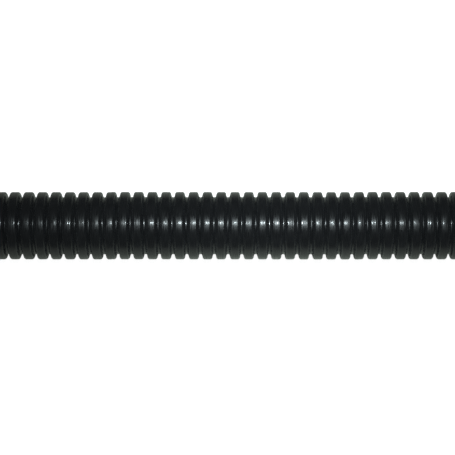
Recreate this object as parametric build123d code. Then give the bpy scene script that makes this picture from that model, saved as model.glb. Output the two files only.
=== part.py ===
from build123d import *
from math import atan2, tan
import os

# Straight corrugated conduit: one thin wall of black plastic, blown into ring shaped ribs.
# It lies along X on the floor, with its middle over the origin. Millimetres.

# Driving dimensions
outside_diameter = 21.2  # over the ribs
rib_pitch = 4.3  # from one rib to the next
rib_height = 1.65  # of a rib's top above the groove beside it
crest_width = 2.7  # of a rib's top, corner to corner
groove_width = 0.8  # of a groove's floor, corner to corner
crest_rounding = 0.6  # radius of a rib's two outer corners
wall = 0.45
nominal_length = 1000  # as it is sold; the cuts fall in the middle of the nearest grooves

# The knife follows a groove, so the tube holds a whole number of ribs.
rib_count = round(nominal_length / rib_pitch)
length = rib_count * rib_pitch
crest_radius = outside_diameter / 2
groove_radius = crest_radius - rib_height
flank_run = (rib_pitch - crest_width - groove_width) / 2
corner_turn = atan2(rib_height, flank_run)


def wave(depth, rounding):
    """The line of one rib from groove middle to groove middle, `depth` below the outer face."""
    shift = depth * tan(corner_turn / 2)
    floor_end = groove_width / 2 + shift
    crest_start = (rib_pitch - crest_width) / 2 + shift
    floor = groove_radius - depth
    crest = crest_radius - depth
    return FilletPolyline(
        (0, floor),
        (floor_end, floor),
        (crest_start, crest),
        (rib_pitch - crest_start, crest),
        (rib_pitch - floor_end, floor),
        (rib_pitch, floor),
        radius=[0, rounding, rounding, 0],
    )


def wall_line(one_wave):
    """The wave repeated from end to end of the tube."""
    return [
        Pos(rib * rib_pitch - length / 2, 0) * edge
        for rib in range(rib_count)
        for edge in one_wave.edges()
    ]


def conduit():
    """The cut section of the wall, turned once about the tube's axis."""
    outer_line = wall_line(wave(0, crest_rounding))
    # The wall keeps its thickness round the ribs, which leaves their inner corners sharp.
    inner_line = wall_line(wave(wall, 0))
    cut_ends = [
        Line((x, groove_radius - wall), (x, groove_radius)).edge()
        for x in (-length / 2, length / 2)
    ]
    section = make_face(outer_line + inner_line + cut_ends)
    return Pos(0, 0, crest_radius) * revolve(section, Axis.X, 360)


os.makedirs("parts", exist_ok=True)
export_step(conduit(), "parts/conduit.step")
print("ribs", rib_count, "length", length, "bore", 2 * (groove_radius - wall))
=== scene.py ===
import math
import random

import bmesh
import bpy
from mathutils import Matrix, Vector


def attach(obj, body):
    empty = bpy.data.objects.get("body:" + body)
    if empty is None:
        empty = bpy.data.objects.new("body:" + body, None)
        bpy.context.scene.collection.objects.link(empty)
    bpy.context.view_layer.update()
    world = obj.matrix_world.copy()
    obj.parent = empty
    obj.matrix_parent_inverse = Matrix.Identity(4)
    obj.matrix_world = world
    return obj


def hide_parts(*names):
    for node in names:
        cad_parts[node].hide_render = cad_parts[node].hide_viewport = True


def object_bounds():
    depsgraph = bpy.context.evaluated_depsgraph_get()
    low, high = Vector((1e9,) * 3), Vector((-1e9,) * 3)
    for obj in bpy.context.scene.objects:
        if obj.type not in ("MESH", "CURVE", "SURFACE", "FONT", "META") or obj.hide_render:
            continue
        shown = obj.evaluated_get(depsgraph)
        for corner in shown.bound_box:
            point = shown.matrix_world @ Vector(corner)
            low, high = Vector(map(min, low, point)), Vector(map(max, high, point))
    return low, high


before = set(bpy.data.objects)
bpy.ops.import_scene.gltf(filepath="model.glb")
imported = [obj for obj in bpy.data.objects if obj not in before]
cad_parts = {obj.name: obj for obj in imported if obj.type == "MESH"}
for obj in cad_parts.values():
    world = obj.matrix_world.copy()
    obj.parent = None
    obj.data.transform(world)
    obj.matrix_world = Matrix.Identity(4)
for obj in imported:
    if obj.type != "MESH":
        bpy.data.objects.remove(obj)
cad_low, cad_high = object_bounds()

# A straight length of corrugated conduit lies along X on white paper. Metres; the frame gives its length.
mm = 0.001

# The tube, at the solid's own sizes
tube_length = cad_high[0] - cad_low[0]
crest_radius = 10.6 * mm
axis_height = crest_radius
rib_pitch = 4.3 * mm
rib_height = 1.65 * mm
crest_width = 2.7 * mm
groove_width = 0.8 * mm
crest_rounding = 0.6 * mm
groove_rounding = 0.32 * mm
wall = 0.45 * mm
rib_count = round(tube_length / rib_pitch)
groove_radius = crest_radius - rib_height
flank_run = (rib_pitch - crest_width - groove_width) / 2
corner_turn = math.atan2(rib_height, flank_run)

# What the moulding leaves on it: the ribs of a block stray to one side, up to a step at its end
ribs_per_block = 18
first_block_joint = 9
block_drift = 0.06 * mm
joint_run = 0.1 * mm
rib_sway = 0.04 * mm
rib_lean = math.radians(0.25)
moulding_seed = 5
# Drift and lean carry a rib's corners out as far as the tube's own box.
moulded_radius = crest_radius - block_drift / 2 - crest_width / 2 * rib_lean

# How finely it is made
sides = 60
crest_segments = 3
groove_segments = 3
stretch_count = 5
same_place = 0.03 * mm
cut_tolerance = 1e-6
smooth_up_to = math.radians(35)
small_face_weight = 16  # under 50, so that small faces count for more in a shared normal
equal_weight_within = 1e-7

# The plastic; a pattern's scale is in waves per metre along the tube
plastic_dark = (0.0115, 0.0124, 0.0138, 1)
plastic_pale = (0.0158, 0.017, 0.0187, 1)
plastic_ior = 1.5
mould_line_scale = 2600
mould_line_stretch = (1, 0.015, 0.015)
mould_line_height = 0.05 * mm
polish_scale = 11000
polish_stretch = (1, 0.04, 0.04)
polish_contrast = (0.42, 0.55)
polish_roughness = (0.17, 0.37)
patch_scale = 300
patch_contrast = (0.3, 0.7)
sheen_weight = 0.035
sheen_roughness = 0.4

# The floor
paper_length = 1.3
paper_front = -237 * mm
paper_back = 146 * mm
paper_tint = (0.75, 0.78, 0.67)
table_size = 6
table_below = 0.3 * mm
table_tint = (0.06, 0.06, 0.06)
seen_white = 0.84  # light adds the rest of plain white where the tube doesn't shade it

# The camera; the first four are in pixels of the picture
picture_size = 455
focal_length = 1820
centre_rib_right = 7.5
axis_above_middle = 1.85
camera_distance = 570 * mm
camera_elevation = math.radians(76.2)
looks_from_right = 6.5 * mm
sensor_width = 36
nearest_seen = 0.01
farthest_seen = 20
metres_per_pixel = camera_distance / focal_length

# The lamps, as far off as the camera; a turn is in degrees past it, over the tube
cool_white = (0.87, 1.0, 1.03)
lamp_turn = 8.9
lamp_right = 14 * mm
lamp_aim = (11 * mm, -10 * mm, 0)
lamp_size = 22 * mm
lamp_beam = math.radians(23)
lamp_level = 0.58
tube_lamp_turn = -9
tube_lamp_right = 31 * mm
tube_lamp_size = (68 * mm, 2.5 * mm)
tube_lamp_beam = math.radians(90)
tube_lamp_level = 0.010
world_seen = (1, 1, 1, 1)
world_light = (0.3, 0.31, 0.31, 1)
world_mirrored = (0.03, 0.032, 0.032, 1)


def deselect_all():
    if bpy.context.object and bpy.context.object.mode != "OBJECT":
        bpy.ops.object.mode_set(mode="OBJECT")
    bpy.ops.object.select_all(action="DESELECT")


def make_active(piece):
    deselect_all()
    piece.select_set(True)
    bpy.context.view_layer.objects.active = piece


def select_where(piece, wanted):
    """In edit mode, selects the vertices whose place is wanted, and the edges between them."""
    mesh = bmesh.from_edit_mesh(piece.data)
    for vertex in mesh.verts:
        vertex.select = wanted(vertex.co)
    mesh.select_mode = {"VERT"}
    mesh.select_flush_mode()
    bmesh.update_edit_mesh(piece.data)


def close_to(value, place):
    return abs(value - place) < same_place


def extrude_end(piece, end, run, radius_change=1.0):
    """Draws the open ring at this end of the tube outwards along X, and changes its radius."""
    select_where(piece, lambda place: close_to(place.x, end))
    bpy.ops.mesh.extrude_region_move(TRANSFORM_OT_translate={"value": (run, 0, 0)})
    bpy.ops.transform.resize(
        value=(1, radius_change, radius_change), center_override=(0, 0, axis_height)
    )


def round_ring(piece, place_along, radius, segments):
    """Rounds the corner that runs round the tube at this place."""
    select_where(piece, lambda place: close_to(place.x, place_along))
    bpy.ops.mesh.bevel(
        offset=radius * math.tan(corner_turn / 2), segments=segments, profile=0.5, affect="EDGES"
    )


def plain_rib():
    """One rib from groove middle to groove middle: its crest ring, drawn out to flanks and groove floors."""
    deselect_all()
    bpy.ops.mesh.primitive_cylinder_add(
        vertices=sides,
        radius=moulded_radius,
        depth=crest_width,
        end_fill_type="NOTHING",
        location=(0, 0, axis_height),
        rotation=(0, math.pi / 2, 0),
    )
    rib = bpy.context.object
    rib.name = "rib"
    bpy.ops.object.transform_apply(location=True, rotation=True, scale=True)
    bpy.ops.object.mode_set(mode="EDIT")
    to_groove = groove_radius / moulded_radius
    crest_end = crest_width / 2
    floor_start = crest_end + flank_run
    for way in (-1, 1):
        extrude_end(rib, way * crest_end, way * flank_run, to_groove)
        extrude_end(rib, way * floor_start, way * groove_width / 2)
    for way in (-1, 1):
        round_ring(rib, way * crest_end, crest_rounding, crest_segments)
        round_ring(rib, way * floor_start, groove_rounding, groove_segments)
    bpy.ops.object.mode_set(mode="OBJECT")
    return rib


def joint_rib(rib):
    """A rib on whose crest two mould blocks met, so that its two halves stand a step apart."""
    other = copy_of(rib, "joint_rib")
    make_active(other)
    bpy.ops.object.mode_set(mode="EDIT")
    for way in (-1, 1):
        bpy.ops.mesh.select_all(action="SELECT")
        bpy.ops.mesh.bisect(
            plane_co=(way * joint_run / 2, 0, axis_height),
            plane_no=(1, 0, 0),
            threshold=cut_tolerance,
        )
    select_where(other, lambda place: place.x < 0)
    bpy.ops.transform.translate(value=(0, -block_drift, 0))
    bpy.ops.object.mode_set(mode="OBJECT")
    return other


def copy_of(piece, name):
    copy = piece.copy()
    copy.data = piece.data.copy()
    copy.name = name
    bpy.context.collection.objects.link(copy)
    return copy


def ribs_past_joint(index):
    """How many ribs a rib lies past the last joint between two mould blocks."""
    return (index - first_block_joint) % ribs_per_block


def placed_rib(index, rib, rib_at_joint, chance):
    """A copy of the rib in its place along the tube, its crest swayed and leant a little in its own way."""
    along = ribs_past_joint(index)
    copy = copy_of(rib if along else rib_at_joint, "rib_copy")
    make_active(copy)
    bpy.ops.object.mode_set(mode="EDIT")
    select_where(copy, past_half_height)
    bpy.ops.transform.translate(value=(chance.uniform(-rib_sway, rib_sway), 0, 0))
    bpy.ops.transform.rotate(
        value=chance.uniform(-rib_lean, rib_lean),
        orient_axis="Z",
        center_override=(0, 0, axis_height),
    )
    bpy.ops.object.mode_set(mode="OBJECT")
    drift = block_drift * (0.5 - along / ribs_per_block)
    copy.location = (index * rib_pitch, drift, 0)
    return copy


def past_half_height(place):
    return math.hypot(place.y, place.z - axis_height) > groove_radius + rib_height / 2


def stretch_of_tube(number, indexes, rib, rib_at_joint, chance):
    """A stretch of ribs joined into one skin, given its wall and its cut ends."""
    copies = [placed_rib(index, rib, rib_at_joint, chance) for index in indexes]
    deselect_all()
    for copy in copies:
        copy.select_set(True)
    bpy.context.view_layer.objects.active = copies[0]
    bpy.ops.object.join()
    stretch = bpy.context.object
    stretch.name = f"conduit_stretch_{number}"
    bpy.ops.object.transform_apply(location=True, rotation=True, scale=True)
    bpy.ops.object.mode_set(mode="EDIT")
    bpy.ops.mesh.select_all(action="SELECT")
    bpy.ops.mesh.remove_doubles(threshold=same_place)
    bpy.ops.mesh.normals_make_consistent(inside=False)
    bpy.ops.object.mode_set(mode="OBJECT")
    shell = stretch.modifiers.new("wall", "SOLIDIFY")
    shell.thickness = wall
    shell.offset = -1
    shell.use_even_offset = True
    shell.use_rim = True
    bpy.ops.object.modifier_apply(modifier="wall")
    bpy.ops.object.mode_set(mode="EDIT")
    bpy.ops.mesh.select_all(action="SELECT")
    bpy.ops.mesh.remove_doubles(threshold=same_place)
    bpy.ops.object.mode_set(mode="OBJECT")
    bpy.ops.object.shade_smooth_by_angle(angle=smooth_up_to)
    flats = stretch.modifiers.new("flat_crests", "WEIGHTED_NORMAL")
    flats.keep_sharp = True
    flats.weight = small_face_weight
    flats.thresh = equal_weight_within
    bpy.ops.object.modifier_apply(modifier="flat_crests")
    return stretch


def tube():
    """The whole tube, as stretches of about as many ribs each."""
    chance = random.Random(moulding_seed)
    rib = plain_rib()
    rib_at_joint = joint_rib(rib)
    first = -(rib_count // 2)
    cuts = [first + round(rib_count * part / stretch_count) for part in range(stretch_count + 1)]
    stretches = [
        stretch_of_tube(number + 1, range(cuts[number], cuts[number + 1]), rib, rib_at_joint, chance)
        for number in range(stretch_count)
    ]
    for pattern in (rib, rib_at_joint):
        bpy.data.objects.remove(pattern)
    return stretches


def new_material(name):
    material = bpy.data.materials.new(name)
    material.use_nodes = True
    material.node_tree.nodes.clear()
    return material, material.node_tree.nodes, material.node_tree.links


def shader_from(nodes, links, kind, *inputs):
    """What a new node of this kind gives when its sockets take these inputs in order."""
    node = nodes.new(kind)
    for socket, value in enumerate(inputs):
        links.new(value, node.inputs[socket])
    return node.outputs["Shader"]


def black_plastic():
    """Satin black plastic with the fine lines and grain that the moulds leave on it."""
    material, nodes, links = new_material("black_plastic")
    place = nodes.new("ShaderNodeTexCoord").outputs["Object"]

    def noise(scale, stretch, detail):
        mapping = nodes.new("ShaderNodeMapping")
        mapping.inputs["Scale"].default_value = stretch
        links.new(place, mapping.inputs["Vector"])
        texture = nodes.new("ShaderNodeTexNoise")
        texture.inputs["Scale"].default_value = scale
        texture.inputs["Detail"].default_value = detail
        links.new(mapping.outputs["Vector"], texture.inputs["Vector"])
        return texture.outputs["Fac"]

    def spread(value, contrast, result):
        change = nodes.new("ShaderNodeMapRange")
        change.inputs["From Min"].default_value = contrast[0]
        change.inputs["From Max"].default_value = contrast[1]
        change.inputs["To Min"].default_value = result[0]
        change.inputs["To Max"].default_value = result[1]
        links.new(value, change.inputs["Value"])
        return change.outputs["Result"]

    mould_lines = noise(mould_line_scale, mould_line_stretch, detail=1.0)
    relief = nodes.new("ShaderNodeBump")
    relief.inputs["Strength"].default_value = 1.0
    relief.inputs["Distance"].default_value = mould_line_height
    links.new(mould_lines, relief.inputs["Height"])
    polish = noise(polish_scale, polish_stretch, detail=0.0)
    roughness = spread(polish, polish_contrast, polish_roughness)
    patches = noise(patch_scale, (1, 1, 1), detail=2.0)
    colour = nodes.new("ShaderNodeMix")
    colour.data_type = "RGBA"
    colour.inputs["A"].default_value = plastic_dark
    colour.inputs["B"].default_value = plastic_pale
    links.new(spread(patches, patch_contrast, (0, 1)), colour.inputs["Factor"])
    shader = nodes.new("ShaderNodeBsdfPrincipled")
    shader.inputs["IOR"].default_value = plastic_ior
    shader.inputs["Diffuse Roughness"].default_value = 1.0
    shader.inputs["Sheen Weight"].default_value = sheen_weight
    shader.inputs["Sheen Roughness"].default_value = sheen_roughness
    links.new(relief.outputs["Normal"], shader.inputs["Normal"])
    links.new(roughness, shader.inputs["Roughness"])
    links.new(colour.outputs["Result"], shader.inputs["Base Color"])
    out = nodes.new("ShaderNodeOutputMaterial")
    links.new(shader.outputs["BSDF"], out.inputs["Surface"])
    return material


def burnt_out_white(name, tint):
    """A surface of this tint, burnt out to white for the camera but for a trace of the tube's shadow."""
    material, nodes, links = new_material(name)

    def matt(colour):
        node = nodes.new("ShaderNodeBsdfDiffuse")
        node.inputs["Color"].default_value = (*colour, 1)
        return node.outputs["BSDF"]

    white = nodes.new("ShaderNodeEmission")
    white.inputs["Strength"].default_value = seen_white
    seen = shader_from(nodes, links, "ShaderNodeAddShader", matt((1, 1, 1)), white.outputs["Emission"])
    for_camera = nodes.new("ShaderNodeLightPath").outputs["Is Camera Ray"]
    surface = shader_from(nodes, links, "ShaderNodeMixShader", for_camera, matt(tint), seen)
    out = nodes.new("ShaderNodeOutputMaterial")
    links.new(surface, out.inputs["Surface"])
    return material


def sheet_on_floor(name, size, middle, material):
    deselect_all()
    bpy.ops.mesh.primitive_plane_add(size=1, location=middle)
    sheet = bpy.context.object
    sheet.name = name
    sheet.scale = (*size, 1)
    bpy.ops.object.transform_apply(location=True, rotation=True, scale=True)
    sheet.data.materials.append(material)


def floor():
    """White paper on a table that the tube mirrors as dark."""
    size = (paper_length, paper_back - paper_front)
    middle = (0, (paper_front + paper_back) / 2, 0)
    sheet_on_floor("paper", size, middle, burnt_out_white("white_paper", paper_tint))
    size = (table_size, table_size)
    middle = (0, 0, -table_below)
    sheet_on_floor("table", size, middle, burnt_out_white("table_top", table_tint))


def towards(turn):
    """The direction from the tube to the camera, turned by so many degrees over the tube."""
    angle = camera_elevation + math.radians(turn)
    return Vector((0, -math.cos(angle), math.sin(angle)))


def aimed(thing, place, aim):
    """Puts a camera or a lamp at its place and turns it to its aim, with the tube level across its view."""
    thing.location = place
    thing.rotation_mode = "QUATERNION"
    view = (aim - place).normalized()
    up = Vector((1, 0, 0)).cross(view).normalized()
    thing.rotation_quaternion = Matrix((view.cross(up), up, -view)).transposed().to_quaternion()
    bpy.context.collection.objects.link(thing)
    return thing


def camera():
    """The camera looks steeply down on the tube, with the middle rib just right of the picture's middle."""
    up = Vector((0, math.sin(camera_elevation), math.cos(camera_elevation)))
    aim = Vector((0, 0, axis_height))
    aim -= Vector((1, 0, 0)) * centre_rib_right * metres_per_pixel
    aim -= up * axis_above_middle * metres_per_pixel
    place = aim + towards(0) * camera_distance + Vector((looks_from_right, 0, 0))
    data = bpy.data.cameras.new("camera")
    data.sensor_width = sensor_width
    data.lens = sensor_width * focal_length / picture_size
    data.clip_start = nearest_seen
    data.clip_end = farthest_seen
    bpy.context.scene.camera = aimed(bpy.data.objects.new("camera", data), place, aim)


def lamp(name, place, aim, shape, size, beam, level):
    """A lamp that lights white at its aim to this level, and fades out at the edge of its beam."""
    distance = (aim - place).length
    half_beam = beam / 2
    gain = math.tan(half_beam) / (math.tan(half_beam) - half_beam)
    data = bpy.data.lights.new(name, "AREA")
    data.shape = shape
    data.size, data.size_y = size
    data.spread = beam
    data.energy = level * math.pi**2 * distance**2 / gain
    data.color = cool_white
    aimed(bpy.data.objects.new(name, data), place, aim)


def lamps():
    """A small lamp on one side of the camera, and a faint tube lamp on the other."""
    tube_axis = Vector((0, 0, axis_height))
    place = tube_axis + towards(lamp_turn) * camera_distance + Vector((lamp_right, 0, 0))
    aim = tube_axis + Vector(lamp_aim)
    lamp("lamp", place, aim, "DISK", (lamp_size, lamp_size), lamp_beam, lamp_level)
    aside = Vector((tube_lamp_right, 0, 0))
    place = tube_axis + towards(tube_lamp_turn) * camera_distance + aside
    aim = tube_axis + aside
    lamp("tube_lamp", place, aim, "RECTANGLE", tube_lamp_size, tube_lamp_beam, tube_lamp_level)


def dim_world():
    """A dim plain world, which is white to the camera and dark in the tube's gloss."""
    world = bpy.data.worlds.new("studio")
    bpy.context.scene.world = world
    world.use_nodes = True
    nodes = world.node_tree.nodes
    links = world.node_tree.links
    nodes.clear()

    def background(colour):
        node = nodes.new("ShaderNodeBackground")
        node.inputs["Color"].default_value = colour
        return node.outputs["Background"]

    rays = nodes.new("ShaderNodeLightPath").outputs
    light = background(world_light)
    mirrored = background(world_mirrored)
    unseen = shader_from(nodes, links, "ShaderNodeMixShader", rays["Is Glossy Ray"], light, mirrored)
    white = background(world_seen)
    surface = shader_from(nodes, links, "ShaderNodeMixShader", rays["Is Camera Ray"], unseen, white)
    out = nodes.new("ShaderNodeOutputWorld")
    links.new(surface, out.inputs["Surface"])


camera()
plastic = black_plastic()
for stretch in tube():
    stretch.data.materials.clear()
    stretch.data.materials.append(plastic)
    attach(stretch, "root")
    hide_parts("conduit")
floor()
lamps()
dim_world()
bpy.context.scene.view_settings.view_transform = "Standard"
